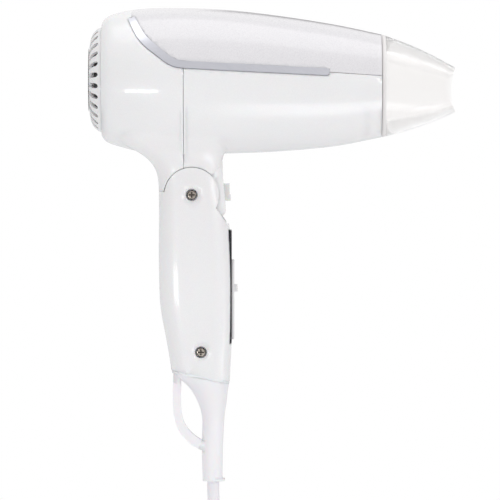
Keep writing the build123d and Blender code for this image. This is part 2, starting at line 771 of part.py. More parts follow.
def corner_radii(points):
    """The largest arc that each corner of a route allows between its two runs."""
    runs = leg_lengths(points)
    radii = []
    for i in range(1, len(points) - 1):
        into = Vector(*points[i]) - Vector(*points[i - 1])
        out = Vector(*points[i + 1]) - Vector(*points[i])
        half_turn = math.radians(into.get_angle(out)) / 2
        radii.append(0.45 * min(runs[i - 1], runs[i]) / math.tan(half_turn))
    return radii


def cord_tube(points, name):
    """The cord's tube along a route of straight runs and tangent arcs."""
    radii = corner_radii(points)
    path = FilletPolyline(*points, radius=radii)
    tube = sweep(Plane(path @ 0, z_dir=path % 0) * Circle(CORD_R), path)
    section = math.pi * CORD_R**2
    print(name, "radii", [round(r, 1) for r in radii])
    print(name, "length", round(path.length, 1), "volume over section x length",
          round(tube.volume / (section * path.length), 4))
    return tube


def cord_coil():
    """Outer shape of the wound cord: a flat ring lying on the surface below."""
    x, y = COIL_AT
    ring = Cylinder(COIL_OUT, COIL_HIGH) - Cylinder(COIL_IN, COIL_HIGH)
    ring = fillet(ring.edges(), 3.0)
    return Pos(x, y, FLOOR + COIL_HIGH / 2) * ring


def cord_tie():
    """Band round one side of the coil."""
    x, y = COIL_AT
    wide, thick, play = 12.0, 1.2, 0.1
    inner = math.sqrt(COIL_IN**2 - (wide / 2) ** 2) - play
    outer = COIL_OUT + play
    middle = (inner + outer) / 2
    height = FLOOR + COIL_HIGH / 2
    band = Pos(x, y + middle, height) * Box(wide, outer - inner + 2 * thick, COIL_HIGH + 2 * play)
    band += Pos(x, y + middle, height + COIL_HIGH / 2 + play + thick / 2) * Box(
        wide, outer - inner + 2 * thick, thick
    )
    return band - Pos(x, y + middle, height) * Box(wide + 1, outer - inner, COIL_HIGH + 2 * play)


def plug_frame():
    """The plug's own frame: it lies along the tail's last run, its pins pointing onward."""
    end = Vector(*TAIL[-1])
    ahead = Vector(*TAIL[-1]) - Vector(*TAIL[-2])
    ahead = Vector(ahead.X, ahead.Y, 0).normalized()
    centre = Vector(end.X, end.Y, FLOOR + PLUG[-1][2])
    return Plane(origin=centre, x_dir=Vector(0, 0, 1).cross(ahead), z_dir=ahead).location


def plug_body():
    """Moulded two-pin plug body: a slim neck that widens into an oval head."""
    sections = []
    for along, wide, high in PLUG:
        local = Plane(origin=(0, high - PLUG[-1][2], along))
        sections.append(local * RectangleRounded(2 * wide, 2 * high, 0.92 * min(wide, high)))
    return plug_frame() * loft(sections)


def plug_pins():
    """Two round contact pins, tapered at their tips."""
    pins = None
    for side in (-1, 1):
        pin = Cylinder(PIN_RADIUS, PIN_LONG)
        pin = fillet(pin.edges().sort_by(Axis.Z)[-1], 1.2)
        pin = plug_frame() * (Pos(side * PIN_SPACING / 2, 0, PLUG_LONG + PIN_LONG / 2) * pin)
        pins = pin if pins is None else pins + pin
    return pins


def fan_duct():
    """Duct round the fan, with guide vanes that carry the motor's ring."""
    low, high = DUCT_X
    duct = rod_x(DUCT_R, low, high, AIR_UP) - rod_x(DUCT_R - DUCT_WALL, low - 1, high + 1, AIR_UP)
    ring = rod_x(MOTOR_R + 1.6, MOTOR_X[0] + 4, high, AIR_UP)
    ring -= rod_x(MOTOR_R, low, high + 1, AIR_UP)
    vane = block((MOTOR_X[0] + 4, MOTOR_R + 1.0, up(AIR_UP) - 0.8), (high, DUCT_R - 0.7, up(AIR_UP) + 0.8))
    for i in range(VANES):
        ring += vane.rotate(Axis((0, 0, up(AIR_UP)), (1, 0, 0)), i * 360 / VANES)
    return duct + ring


def fan_motor():
    """Round direct-current motor with a bore for its shaft."""
    low, high = MOTOR_X
    can = rod_x(MOTOR_R, low, high, AIR_UP)
    can = fillet(can.edges(), 1.0)
    nose = rod_x(3.2, low - 1.6, low + 1, AIR_UP)
    return can + nose - rod_x(SHAFT_R + RUN, low - 2, high + 1, AIR_UP)


def motor_shaft():
    """Steel shaft that turns in the motor and carries the impeller."""
    return rod_x(SHAFT_R, FAN_X[0] + 1.0, MOTOR_X[1] + 1.5, AIR_UP)


def impeller():
    """Axial fan: a domed hub with pitched blades."""
    low, high = FAN_X
    hub = rod_x(FAN_HUB_R, low, high, AIR_UP)
    hub = fillet(hub.edges().sort_by(Axis.X)[0], 4.0)
    blade = Box(1.3, FAN_R - FAN_HUB_R + 2.0, 15.0)
    blade = Rot(0, -52, 0) * blade
    blade = Pos((low + high) / 2, (FAN_R + FAN_HUB_R) / 2 - 1.4, up(AIR_UP)) * blade
    fan = hub
    for i in range(BLADES):
        fan += blade.rotate(Axis((0, 0, up(AIR_UP)), (1, 0, 0)), i * 360 / BLADES)
    fan &= rod_x(FAN_R, low, high, AIR_UP)
    return fan - rod_x(SHAFT_R, low + 1.0, high + 1, AIR_UP)


def heater_sleeve():
    """Thin mica tube that lines the hot end."""
    low, high = SLEEVE_X
    return rod_x(SLEEVE_R, low, high, AIR_UP) - rod_x(SLEEVE_R - SLEEVE_WALL, low - 1, high + 1, AIR_UP)


def ring_places():
    """Places of the heating coil's rings along the former."""
    low, high = SLEEVE_X
    step = (high - low - 16) / (COIL_RINGS - 1)
    return [low + 8 + i * step for i in range(COIL_RINGS)]


def heating_rings():
    """Coiled heating wire, simplified to rings held in the former's notches."""
    rings = None
    for x in ring_places():
        ring = Pos(x, 0, up(AIR_UP)) * Rot(0, 90, 0) * Torus(COIL_RING_R, COIL_WIRE_R)
        rings = ring if rings is None else rings + ring
    return rings


def heater_former():
    """Crossed mica cards, notched for the heating coil."""
    low, high = SLEEVE_X
    half = SLEEVE_R - SLEEVE_WALL
    card = block((low, -half, up(AIR_UP) - FORMER_THICK / 2), (high, half, up(AIR_UP) + FORMER_THICK / 2))
    cross = card + card.rotate(Axis((0, 0, up(AIR_UP)), (1, 0, 0)), 90)
    cross &= rod_x(half, low, high, AIR_UP)
    return cross - heating_rings()


def thermostat():
    """Bimetal cut-out clipped to the former."""
    x = SLEEVE_X[1] - 14
    z = up(AIR_UP) + FORMER_THICK / 2
    base = block((x - 5, 3.0, z), (x + 5, 9.0, z + 1.6))
    return base + block((x - 4, 3.6, z + 1.6), (x + 3, 8.4, z + 4.0))


def thermal_fuse():
    """One-shot fuse beside the thermostat."""
    x = SLEEVE_X[1] - 14
    z = up(AIR_UP) - FORMER_THICK / 2 - 1.6
    body = Pos(x, 6.0, z) * Rot(0, 90, 0) * Cylinder(1.6, 9.0)
    return body + Pos(x, 6.0, z) * Rot(0, 90, 0) * Cylinder(0.5, 16.0)


def inlet_filter():
    """Fine mesh disc behind the grille that keeps hair out of the fan."""
    low = LIP_X + 3.4
    disc = rod_x(GRILLE_R - 0.6, low, low + 0.8, grille_up())
    pitch = 4.0
    cuts = None
    for i in range(-6, 7):
        for j in range(-6, 7):
            if math.hypot(i * pitch, j * pitch) < GRILLE_R - 4:
                hole = Pos(low, i * pitch, up(grille_up()) + j * pitch) * Box(6, 2.8, 2.8)
                cuts = hole if cuts is None else cuts + hole
    return disc - cuts


def cool_button():
    """Stepped cold-air button that slides into the tongue."""
    upper = block(
        (BUTTON_BACK, -BUTTON_HALF, up(BUTTON_STEP)), (BUTTON_FACE, BUTTON_HALF, up(BUTTON_TOP))
    )
    lower = block(
        (BUTTON_BACK, -BUTTON_HALF, up(BUTTON_END)), (BUTTON_LOW_FACE, BUTTON_HALF, up(BUTTON_STEP))
    )
    return upper + lower


def write(name, solid):
    """Writes one sub-part to its own file."""
    export_step(solid, os.path.join("parts", name + ".step"))


def cool_switch():
    """Small snap switch behind the cold-air button."""
    high = BUTTON_BACK - BUTTON_TRAVEL - BUTTON_PLAY
    return block((WELL_BACK, -3.0, up(BUTTON_END)), (high, 3.0, up(BUTTON_TOP)))


def build():
    """Every sub-part of the dryer by its name."""
    rear, front, cover, trim_left, trim_right = housings()
    left, right = handle_shells()
    coil = cord_coil()
    lead = cord_tube(ROUTE, "lead")
    tail = cord_tube(TAIL, "tail")
    plug = plug_body()
    return {
        "rear_housing": rear,
        "front_housing": front,
        "top_cover": cover,
        "trim_strip_left": trim_left,
        "trim_strip_right": trim_right,
        "inlet_grille": inlet_grille(),
        "inlet_filter": inlet_filter(),
        "fan_duct": fan_duct(),
        "fan_motor": fan_motor(),
        "motor_shaft": motor_shaft(),
        "impeller": impeller(),
        "heater_sleeve": heater_sleeve(),
        "heater_former": heater_former(),
        "heating_rings": heating_rings(),
        "thermostat": thermostat(),
        "thermal_fuse": thermal_fuse(),
        "outlet_grille": outlet_grille(),
        "concentrator_nozzle": concentrator_nozzle(),
        "cool_button": cool_button(),
        "cool_switch": cool_switch(),
        "handle_shell_left": left,
        "handle_shell_right": right,
        "pivot_pin": pivot_pin(),
        "hinge_washers": hinge_washers(),
        "pivot_screw": cross_screw(PIVOT_SEAT_Y, CHEEK_IN + 4.0, 0, 0),
        "handle_screw": cross_screw(LOW_SEAT_Y, LOW_SCREW_TIP_Y, *LOW_SCREW),
        "switch_bezel": switch_bezel(),
        "switch_panel": switch_panel(),
        "switch_slider": switch_slider(),
        "slide_switch": slide_switch(),
        "noise_capacitor": noise_capacitor(),
        "inner_leads": inner_leads(),
        "cord_clamp": cord_clamp(),
        "cord_stub": rod_z(CORD_R, RELIEF_X, 0, stub_up(), CLAMP[1] + 3.0),
        "strain_relief": strain_relief(lead),
        "cord_lead": lead - coil,
        "cord_coil": coil,
        "cord_tail": tail - coil - plug,
        "cord_tie": cord_tie(),
        "plug_body": plug,
        "plug_pins": plug_pins(),
    }


def main():
    """Builds and writes every sub-part."""
    os.makedirs("parts", exist_ok=True)
    for name, solid in build().items():
        write(name, solid)


if __name__ == "__main__":
    main()
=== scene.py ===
"""Looks of the folding hair dryer: pearl housings, clear nozzle, trim, grip and mains lead."""

import json
import logging
import math
from dataclasses import dataclass, field
from enum import Enum
from typing import Any

import bmesh
import bpy
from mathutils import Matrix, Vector


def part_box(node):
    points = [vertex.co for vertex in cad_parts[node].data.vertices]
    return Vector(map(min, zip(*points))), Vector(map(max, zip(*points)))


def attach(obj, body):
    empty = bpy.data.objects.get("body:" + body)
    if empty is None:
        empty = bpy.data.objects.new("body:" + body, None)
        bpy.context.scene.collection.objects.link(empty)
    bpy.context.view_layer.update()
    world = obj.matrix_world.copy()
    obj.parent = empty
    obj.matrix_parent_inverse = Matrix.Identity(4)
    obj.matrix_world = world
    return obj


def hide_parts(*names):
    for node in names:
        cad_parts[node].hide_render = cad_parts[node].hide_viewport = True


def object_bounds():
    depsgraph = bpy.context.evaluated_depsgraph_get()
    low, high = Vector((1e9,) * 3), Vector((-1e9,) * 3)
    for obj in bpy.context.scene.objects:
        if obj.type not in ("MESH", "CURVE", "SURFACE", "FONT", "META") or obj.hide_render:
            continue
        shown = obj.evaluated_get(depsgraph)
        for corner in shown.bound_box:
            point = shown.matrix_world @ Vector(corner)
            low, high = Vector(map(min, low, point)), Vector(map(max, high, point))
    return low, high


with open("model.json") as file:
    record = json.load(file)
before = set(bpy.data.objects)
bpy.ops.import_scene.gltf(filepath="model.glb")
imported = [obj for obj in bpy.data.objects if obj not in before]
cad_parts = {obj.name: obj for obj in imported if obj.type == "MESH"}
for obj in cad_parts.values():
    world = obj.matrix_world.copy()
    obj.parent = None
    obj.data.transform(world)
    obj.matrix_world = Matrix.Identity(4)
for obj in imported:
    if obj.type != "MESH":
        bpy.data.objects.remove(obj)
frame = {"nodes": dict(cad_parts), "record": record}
CAD_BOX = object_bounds()

Point = tuple[float, float, float]
Colour = tuple[float, float, float]
Span = tuple[float, float]
NODES: dict[str, bpy.types.Object] = frame["nodes"]
EVENLY_SHADED = ("top_cover", "trim_strip_left", "trim_strip_right")
MM = 0.001
MERGE = 1e-6
log = logging.getLogger("hair_dryer")


class Look(Enum):
    """The finishes, each value being its material's name."""

    PEARL_SHELL = "pearl_shell"
    PEARL_COVER = "pearl_cover"
    SATIN_TRIM = "satin_trim"
    WHITE_PLASTIC = "white_plastic"
    INNER_PLASTIC = "inner_plastic"
    FILTER_MESH = "filter_mesh"
    BRIGHT_STEEL = "bright_steel"
    BRONZED_STEEL = "bronzed_steel"
    FROSTED_RING_PAINTED_GLOW = "frosted_ring_painted_glow"
    MICA_CARD = "mica_card"
    HEATER_WIRE = "heater_wire"
    STAMPED_BRASS = "stamped_brass"
    NICKEL_PIN = "nickel_pin"
    DARK_CHROME = "dark_chrome"
    SMOKE_BUTTON = "smoke_button"
    CAPACITOR_CASE = "capacitor_case"
    LEAD_JACKET = "lead_jacket"
    CORD_JACKET = "cord_jacket"
    SOFT_RELIEF = "soft_relief"
    TIE_STRAP = "tie_strap"
    CLEAR_PLASTIC = "clear_plastic"


# ---------------------------------------------------------------------------- shader arithmetic


class Value:
    """A number socket that takes part in Python arithmetic by adding Math nodes."""

    def __init__(self, graph: "Graph", socket: bpy.types.NodeSocket) -> None:
        """Keeps the graph and the socket."""
        self.graph = graph
        self.socket = socket

    def _math(self, operation: str, *values: Any) -> "Value":
        """Adds a Math node.

        Args:
            operation: the Math node's operation.
            values: its inputs, numbers or other values.

        Returns:
            The node's result.
        """
        node = self.graph.add("ShaderNodeMath", {"operation": operation}, dict(enumerate(values)))
        return Value(self.graph, node.outputs[0])

    def __add__(self, other: Any) -> "Value":
        """Sum."""
        return self._math("ADD", self, other)

    __radd__ = __add__

    def __sub__(self, other: Any) -> "Value":
        """Difference."""
        return self._math("SUBTRACT", self, other)

    def __rsub__(self, other: Any) -> "Value":
        """Difference from a number."""
        return self._math("SUBTRACT", other, self)

    def __mul__(self, other: Any) -> "Value":
        """Product."""
        return self._math("MULTIPLY", self, other)

    __rmul__ = __mul__

    def absolute(self) -> "Value":
        """The value without its sign."""
        return self._math("ABSOLUTE", self)

    def ramp(self, start: float, end: float) -> "Value":
        """A smooth, clamped step.

        Args:
            start: where the step is zero.
            end: where the step is one, above or below start.

        Returns:
            The step, 0 to 1.
        """
        node = self.graph.add(
            "ShaderNodeMapRange", {"interpolation_type": "SMOOTHSTEP"}, {0: self, 1: start, 2: end}
        )
        return Value(self.graph, node.outputs[0])

    def wave(self) -> "Value":
        """The sine of the value."""
        return self._math("SINE", self)


class Graph:
    """A material's or the world's node tree, filled through one method."""

    def __init__(self, tree: bpy.types.NodeTree) -> None:
        """Clears the tree."""
        self.tree = tree
        tree.nodes.clear()

    def add(
        self, kind: str, settings: dict[str, Any] | None = None, inputs: dict[Any, Any] | None = None
    ) -> bpy.types.Node:
        """Adds a node.

        Args:
            kind: the node's type.
            settings: attributes, set first.
            inputs: socket name or index to a number, colour, Value or socket.

        Returns:
            The node.
        """
        node = self.tree.nodes.new(kind)
        for name, value in (settings or {}).items():
            setattr(node, name, value)
        for name, value in (inputs or {}).items():
            socket = node.inputs[name]
            if isinstance(value, Value):
                self.tree.links.new(value.socket, socket)
            elif isinstance(value, bpy.types.NodeSocket):
                self.tree.links.new(value, socket)
            else:
                socket.default_value = value
        return node

    def straight_on(self) -> Value:
        """One for light seen directly or through clear plastic, else zero."""
        path = self.add("ShaderNodeLightPath").outputs
        return Value(self, path["Is Camera Ray"]) + Value(self, path["Is Transmission Ray"])

    def mirrored(self) -> Value:
        """One for light seen in a reflection, else zero."""
        return Value(self, self.add("ShaderNodeLightPath").outputs["Is Glossy Ray"])

    def mix_shaders(self, share: Value, first: Any, second: Any) -> bpy.types.NodeSocket:
        """A shader between two, by share."""
        return self.add("ShaderNodeMixShader", None, {0: share, 1: first, 2: second}).outputs[0]

    def place(self) -> bpy.types.NodeSocket:
        """The piece's own coordinates, in metres."""
        return self.add("ShaderNodeTexCoord").outputs["Object"]

    def split(self, vector: Any) -> tuple[Value, Value, Value]:
        """The three parts of a vector as values."""
        node = self.add("ShaderNodeSeparateXYZ", None, {0: vector})
        return tuple(Value(self, node.outputs[i]) for i in range(3))

    def noise(
        self, scale: float, detail: float = 2.0, rough: float = 0.5, vector: Any = None
    ) -> Value:
        """Noise on the piece's own coordinates.

        Args:
            scale: cycles per metre.
            detail: octaves.
            rough: weight of the finer octaves.
            vector: coordinates to use instead.

        Returns:
            The noise, about 0 to 1.
        """
        node = self.add(
            "ShaderNodeTexNoise", None,
            {"Vector": vector or self.place(), "Scale": scale, "Detail": detail, "Roughness": rough},
        )
        return Value(self, node.outputs[0])

    def flecks(self, scale: float) -> Value:
        """A random grey for each cell of a fine Voronoi pattern, for pearl flakes."""
        node = self.add("ShaderNodeTexVoronoi", None, {"Vector": self.place(), "Scale": scale})
        parts = self.add("ShaderNodeSeparateColor", None, {0: node.outputs["Color"]})
        return Value(self, parts.outputs[0])

    def blend(self, share: Value, first: Any, second: Any) -> bpy.types.NodeSocket:
        """A colour between two, by share.

        Args:
            share: 0 gives the first, 1 the second.
            first: a colour or socket.
            second: a colour or socket.

        Returns:
            The colour socket.
        """
        inputs = {0: share, 6: _rgba(first), 7: _rgba(second)}
        return self.add("ShaderNodeMix", {"data_type": "RGBA"}, inputs).outputs[2]

    def bump(self, height: Value, strength: float, distance: float) -> bpy.types.NodeSocket:
        """The normal of a bumped surface.

        Args:
            height: the relief.
            strength: how much of it shows.
            distance: metres for one unit of height.

        Returns:
            The normal socket.
        """
        node = self.add(
            "ShaderNodeBump", None, {"Strength": strength, "Distance": distance, "Height": height}
        )
        return node.outputs[0]


def _rgba(colour: Any) -> Any:
    """A colour with its alpha, or a socket as it is."""
    return (*colour, 1.0) if isinstance(colour, tuple) and len(colour) == 3 else colour


# ------------------------------------------------------------------------------------- finishes


@dataclass(frozen=True)
class Finish:
    """A moulded or metal finish with cloudy colour, uneven gloss and a fine relief."""

    look: Look
    colour: Colour
    tint: Colour
    roughness: float
    gloss_spread: float = 0.06
    cloud_scale: float = 60.0
    grain_scale: float = 2600.0
    grain_height: float = 0.00001
    grain_strength: float = 0.15
    fixed: tuple[tuple[str, Any], ...] = ()

    def material(self) -> bpy.types.Material:
        """Makes the material.

        Returns:
            The new material.
        """
        made = bpy.data.materials.new(self.look.value)
        made.use_nodes = True
        graph = Graph(made.node_tree)
        shader = graph.add("ShaderNodeBsdfPrincipled", None, dict(self.fixed))
        self.surface(graph, shader)
        out = graph.add("ShaderNodeOutputMaterial")
        made.node_tree.links.new(shader.outputs[0], out.inputs[0])
        return made

    def join(self, graph: Graph, source: Any, shader: bpy.types.Node, name: str) -> None:
        """Links a value or socket to one of the shader's sockets."""
        socket = source.socket if isinstance(source, Value) else source
        graph.tree.links.new(socket, shader.inputs[name])

    def surface(self, graph: Graph, shader: bpy.types.Node) -> None:
        """Feeds colour, roughness and normal.

        Args:
            graph: the material's nodes.
            shader: the Principled node.
        """
        cloud = graph.noise(self.cloud_scale, 3.0)
        grain = graph.noise(self.grain_scale, 2.0)
        self.join(graph, graph.blend(cloud, self.colour, self.tint), shader, "Base Color")
        self.join(graph, self.roughness + (cloud - 0.5) * self.gloss_spread, shader, "Roughness")
        self.join(graph, graph.bump(grain, self.grain_strength, self.grain_height), shader, "Normal")


@dataclass(frozen=True)
class PearlFinish(Finish):
    """Pearl lacquer: pale flakes in the colour under a clear coat with faint orange peel."""

    flake: Colour = (1.0, 1.0, 1.0)
    flake_share: float = 0.35
    flake_scale: float = 5200.0
    peel_scale: float = 420.0
    soft_radius: float = 0.0
    root_foot: Span = (0.072, 0.080)
    root_top: Span = (0.110, 0.102)
    root_side: Span = (0.009, 0.014)
    seam_x: float = -0.0044
    seam_fade: Span = (0.0006, 0.0016)

    def relief(self, graph: Graph) -> bpy.types.NodeSocket:
        """The coat's slightly wavy normal, with the root of the neck rounded off if a radius is given.

        Args:
            graph: the material's nodes.

        Returns:
            The normal socket.
        """
        wavy = graph.bump(graph.noise(self.peel_scale, 1.0), self.grain_strength, self.grain_height)
        if not self.soft_radius:
            return wavy
        rounded = graph.add("ShaderNodeBevel", {"samples": 8}, {"Radius": self.soft_radius}).outputs[0]
        x, y, z = graph.split(graph.place())
        near = z.ramp(*self.root_foot) * z.ramp(*self.root_top) * y.absolute().ramp(*self.root_side)
        off_seam = (x - self.seam_x).absolute().ramp(*self.seam_fade)
        blend = graph.add(
            "ShaderNodeMix", {"data_type": "VECTOR"}, {0: near * off_seam, 4: wavy, 5: rounded}
        )
        return blend.outputs[1]

    def surface(self, graph: Graph, shader: bpy.types.Node) -> None:
        """Feeds colour with flakes, roughness and the coat's slight waviness.

        Args:
            graph: the material's nodes.
            shader: the Principled node.
        """
        cloud = graph.noise(self.cloud_scale, 3.0)
        flakes = graph.flecks(self.flake_scale)
        base = graph.blend(cloud, self.colour, self.tint)
        self.join(graph, graph.blend(flakes * self.flake_share, base, self.flake), shader, "Base Color")
        self.join(graph, self.roughness + (flakes - 0.5) * self.gloss_spread, shader, "Roughness")
        self.join(graph, self.relief(graph), shader, "Normal")


@dataclass(frozen=True)
class BrushedFinish(Finish):
    """Turned or brushed metal, streaked along one axis."""

    stretch: Point = (40.0, 900.0, 40.0)
    streak_scale: float = 4.0
    streak_detail: float = 4.0
    streak_rough: float = 0.6

    def metal(self, graph: Graph, streak: Value) -> bpy.types.NodeSocket:
        """The streaked colour."""
        return graph.blend(streak, self.colour, self.tint)

    def surface(self, graph: Graph, shader: bpy.types.Node) -> None:
        """Feeds streaked colour, roughness and normal.

        Args:
            graph: the material's nodes.
            shader: the Principled node.
        """
        drawn = graph.add("ShaderNodeMapping", None, {"Vector": graph.place(), "Scale": self.stretch})
        streak = graph.noise(self.streak_scale, self.streak_detail, self.streak_rough, drawn.outputs[0])
        self.join(graph, self.metal(graph, streak), shader, "Base Color")
        self.join(graph, self.roughness + (streak - 0.5) * self.gloss_spread, shader, "Roughness")
        self.join(graph, graph.bump(streak, self.grain_strength, self.grain_height), shader, "Normal")


@dataclass(frozen=True)
class RecessShadedFinish(BrushedFinish):
    """Brushed metal with painted shade where it is deeply set in, as in a screw's cross: ambient
    occlusion darkens its colour there.
    """

    depth: float = 0.0016
    shade: Colour = (0.03, 0.025, 0.02)
    openness: Span = (0.45, 0.85)

    def metal(self, graph: Graph, streak: Value) -> bpy.types.NodeSocket:
        """The streaked colour, with painted shade darkening it in the recess.

        Args:
            graph: the material's nodes.
            streak: the brushed pattern.

        Returns:
            The colour socket.
        """
        # painted shade: ambient occlusion darkens the colour in the screw's cross
        nearby = graph.add("ShaderNodeAmbientOcclusion", {"samples": 8}, {"Distance": self.depth})
        open_share = Value(graph, nearby.outputs["AO"]).ramp(*self.openness)
        return graph.blend(open_share, self.shade, super().metal(graph, streak))


@dataclass(frozen=True)
class RibbedFinish(Finish):
    """Soft plastic with fine moulded rings along one axis."""

    pitch: float = 0.0024
    axis: int = 2

    def surface(self, graph: Graph, shader: bpy.types.Node) -> None:
        """Feeds colour, roughness and a ringed relief.

        Args:
            graph: the material's nodes.
            shader: the Principled node.
        """
        along = graph.split(graph.place())[self.axis]
        rings = (along * (math.tau / self.pitch)).wave() * 0.5 + 0.5
        cloud = graph.noise(self.cloud_scale, 3.0)
        self.join(graph, graph.blend(cloud, self.colour, self.tint), shader, "Base Color")
        self.join(graph, self.roughness + (cloud - 0.5) * self.gloss_spread, shader, "Roughness")
        self.join(graph, graph.bump(rings, self.grain_strength, self.grain_height), shader, "Normal")


class Finishes:
    """Every finish of the dryer, made once and shared."""

    table: tuple[Finish, ...] = (
        PearlFinish(Look.PEARL_SHELL, (0.84, 0.835, 0.85), (0.88, 0.875, 0.88), 0.34, 0.10, 40.0,
                    grain_height=0.00006, grain_strength=0.12, soft_radius=0.006,
                    fixed=(("Coat Weight", 0.85), ("Coat Roughness", 0.09), ("Coat IOR", 1.45),
                           ("Subsurface Weight", 0.08), ("Subsurface Scale", 0.004))),
        PearlFinish(Look.PEARL_COVER, (0.705, 0.695, 0.725), (0.745, 0.735, 0.76), 0.30, 0.10, 40.0,
                    grain_height=0.00006, grain_strength=0.12,
                    fixed=(("Coat Weight", 0.9), ("Coat Roughness", 0.08), ("Coat IOR", 1.45))),
        BrushedFinish(Look.SATIN_TRIM, (0.66, 0.67, 0.73), (0.76, 0.77, 0.82), 0.30, 0.08,
                      grain_height=0.000008, fixed=(("Metallic", 0.75),)),
        Finish(Look.WHITE_PLASTIC, (0.83, 0.83, 0.84), (0.88, 0.88, 0.88), 0.32,
               fixed=(("Coat Weight", 0.4), ("Coat Roughness", 0.15), ("Subsurface Weight", 0.05),
                      ("Subsurface Scale", 0.003))),
        Finish(Look.INNER_PLASTIC, (0.70, 0.70, 0.69), (0.76, 0.76, 0.74), 0.5),
        Finish(Look.FILTER_MESH, (0.05, 0.05, 0.052), (0.09, 0.09, 0.093), 0.6, grain_scale=5000.0),
        BrushedFinish(Look.BRIGHT_STEEL, (0.50, 0.50, 0.50), (0.66, 0.66, 0.65), 0.28, 0.2,
                      fixed=(("Metallic", 1.0),)),
        # the screws' brushed steel, with painted shade in their recessed crosses
        RecessShadedFinish(Look.BRONZED_STEEL, (0.30, 0.26, 0.22), (0.58, 0.53, 0.47), 0.22, 0.2,
                       stretch=(700.0, 60.0, 700.0), fixed=(("Metallic", 1.0),)),
        # the frosted ring's faint emission is painted light: it glows to lighten the ring, which lies in
        # shade behind the clear wall
        Finish(Look.FROSTED_RING_PAINTED_GLOW, (0.76, 0.74, 0.735), (0.82, 0.80, 0.795), 0.35, 0.1, 80.0, 900.0,
               0.00002, 0.2,
               fixed=(("Emission Color", (1.0, 0.98, 0.97, 1.0)), ("Emission Strength", 0.05))),
        Finish(Look.MICA_CARD, (0.50, 0.44, 0.34), (0.66, 0.60, 0.50), 0.45, 0.2, 300.0, 900.0,
               0.0002, 0.4),
        BrushedFinish(Look.HEATER_WIRE, (0.34, 0.32, 0.30), (0.46, 0.43, 0.38), 0.35, 0.2,
                      fixed=(("Metallic", 1.0),)),
        BrushedFinish(Look.STAMPED_BRASS, (0.60, 0.45, 0.18), (0.75, 0.60, 0.30), 0.30, 0.2,
                      fixed=(("Metallic", 1.0),)),
        BrushedFinish(Look.NICKEL_PIN, (0.66, 0.63, 0.56), (0.78, 0.76, 0.70), 0.22, 0.12,
                      fixed=(("Metallic", 1.0),)),
        BrushedFinish(Look.DARK_CHROME, (0.035, 0.035, 0.04), (0.09, 0.09, 0.10), 0.10, 0.05,
                      grain_height=0.000004, fixed=(("Metallic", 1.0),)),
        Finish(Look.SMOKE_BUTTON, (0.84, 0.84, 0.81), (0.90, 0.90, 0.88), 0.22,
               fixed=(("Subsurface Weight", 0.3), ("Subsurface Scale", 0.003), ("Coat Weight", 0.5),
                      ("Coat Roughness", 0.08))),
        Finish(Look.CAPACITOR_CASE, (0.62, 0.50, 0.06), (0.72, 0.60, 0.10), 0.4),
        Finish(Look.LEAD_JACKET, (0.50, 0.04, 0.03), (0.60, 0.06, 0.05), 0.4),
        Finish(Look.CORD_JACKET, (0.87, 0.865, 0.91), (0.91, 0.905, 0.94), 0.38, 0.08, 90.0, 3200.0,
               fixed=(("Subsurface Weight", 0.10), ("Subsurface Scale", 0.003))),
        Finish(Look.SOFT_RELIEF, (0.90, 0.895, 0.93), (0.93, 0.925, 0.95), 0.36, 0.08, 70.0,
               fixed=(("Subsurface Weight", 0.15), ("Subsurface Scale", 0.004), ("Coat Weight", 0.25),
                      ("Coat Roughness", 0.2))),
        RibbedFinish(Look.TIE_STRAP, (0.74, 0.74, 0.77), (0.80, 0.80, 0.83), 0.5, pitch=0.0016, axis=1,
                     grain_height=0.0003, grain_strength=0.6),
        Finish(Look.CLEAR_PLASTIC, (0.915, 0.900, 0.890), (0.945, 0.930, 0.922), 0.015, 0.01,
               30.0, 300.0, 0.000004, 0.05,
               fixed=(("Transmission Weight", 1.0), ("IOR", 1.36), ("Coat Weight", 0.6), ("Alpha", 0.55),
                      ("Coat Roughness", 0.02), ("Coat IOR", 1.5))),
    )

    def __init__(self) -> None:
        """Makes nothing until a finish is asked for."""
        self._made: dict[Look, bpy.types.Material] = {}

    def get(self, look: Look) -> bpy.types.Material:
        """The material of a finish.

        Args:
            look: which finish.

        Returns:
            The material, made on first use.
        """
        if look not in self._made:
            self._made[look] = next(f for f in self.table if f.look is look).material()
        return self._made[look]


FINISHES = Finishes()


# -------------------------------------------------------------------------------- mesh helpers


def paint(piece: bpy.types.Object, look: Look) -> None:
    """Gives a piece one finish in every slot.

    Args:
        piece: the piece.
        look: its finish.
    """
    slots = piece.data.materials
    if not slots:
        slots.append(FINISHES.get(look))
    for i in range(len(slots)):
        slots[i] = FINISHES.get(look)


def dress(nodes: dict[str, Look]) -> None:
    """Gives CAD nodes their finishes.

    Args:
        nodes: node name to finish.
    """
    for name, look in nodes.items():
        paint(NODES[name], look)
        log.info("dressed %s in %s", name, look.value)


def finish_piece(
    name: str, bm: bmesh.types.BMesh, look: Look, body: str, smooth: float
) -> bpy.types.Object:
    """Turns a bmesh into a piece that rides on a body.

    Args:
        name: the piece's name.
        bm: its mesh, freed here.
        look: its finish.
        body: the body it rides on.
        smooth: the angle in degrees under which edges shade smoothly.

    Returns:
        The object.
    """
    mesh = bpy.data.meshes.new(name)
    bm.to_mesh(mesh)
    bm.free()
    piece = bpy.data.objects.new(name, mesh)
    bpy.context.scene.collection.objects.link(piece)
    mesh.shade_smooth()
    mesh.set_sharp_from_angle(angle=math.radians(smooth))
    paint(piece, look)
    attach(piece, body)
    log.info("built %s", name)
    return piece


def body_of(node: str) -> str:
    """The body that a CAD node belongs to."""
    groups = frame["record"]["behaviour"]["bodies"]
    return next(body for body, members in groups.items() if node in members)


